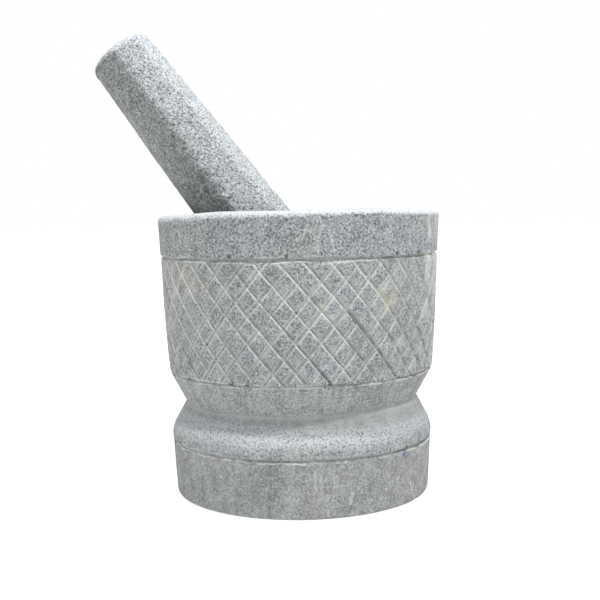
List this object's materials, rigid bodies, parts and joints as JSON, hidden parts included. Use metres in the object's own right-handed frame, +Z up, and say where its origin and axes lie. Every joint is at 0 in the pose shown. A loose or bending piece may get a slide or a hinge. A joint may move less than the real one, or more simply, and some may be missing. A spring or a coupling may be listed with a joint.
{
  "type": "molcajete",
  "caption": "Tall turned stone mortar with a waisted foot and a cross-cut band, with a tapered eight-sided stone pestle leaning in its bowl.",
  "frame": {"origin": "centre of the mortar's base face, on the mortar's axis", "axes": "+Z up along the mortar's axis; the pestle leans towards -X in the XZ plane"},
  "size_m": [0.1817, 0.15, 0.2445],
  "materials": {
    "mortar_stone": "matte",
    "pestle_stone": "matte"
  },
  "bodies": {
    "mortar": {"mortar": "mortar_stone"},
    "pestle": {"pestle": "pestle_stone"}
  },
  "joints": [
    {"name": "pestle_lift", "type": "slide", "parent": "mortar", "child": "pestle", "axis": [0, 0, 1], "range_m": [0, 0.12]}
  ]
}
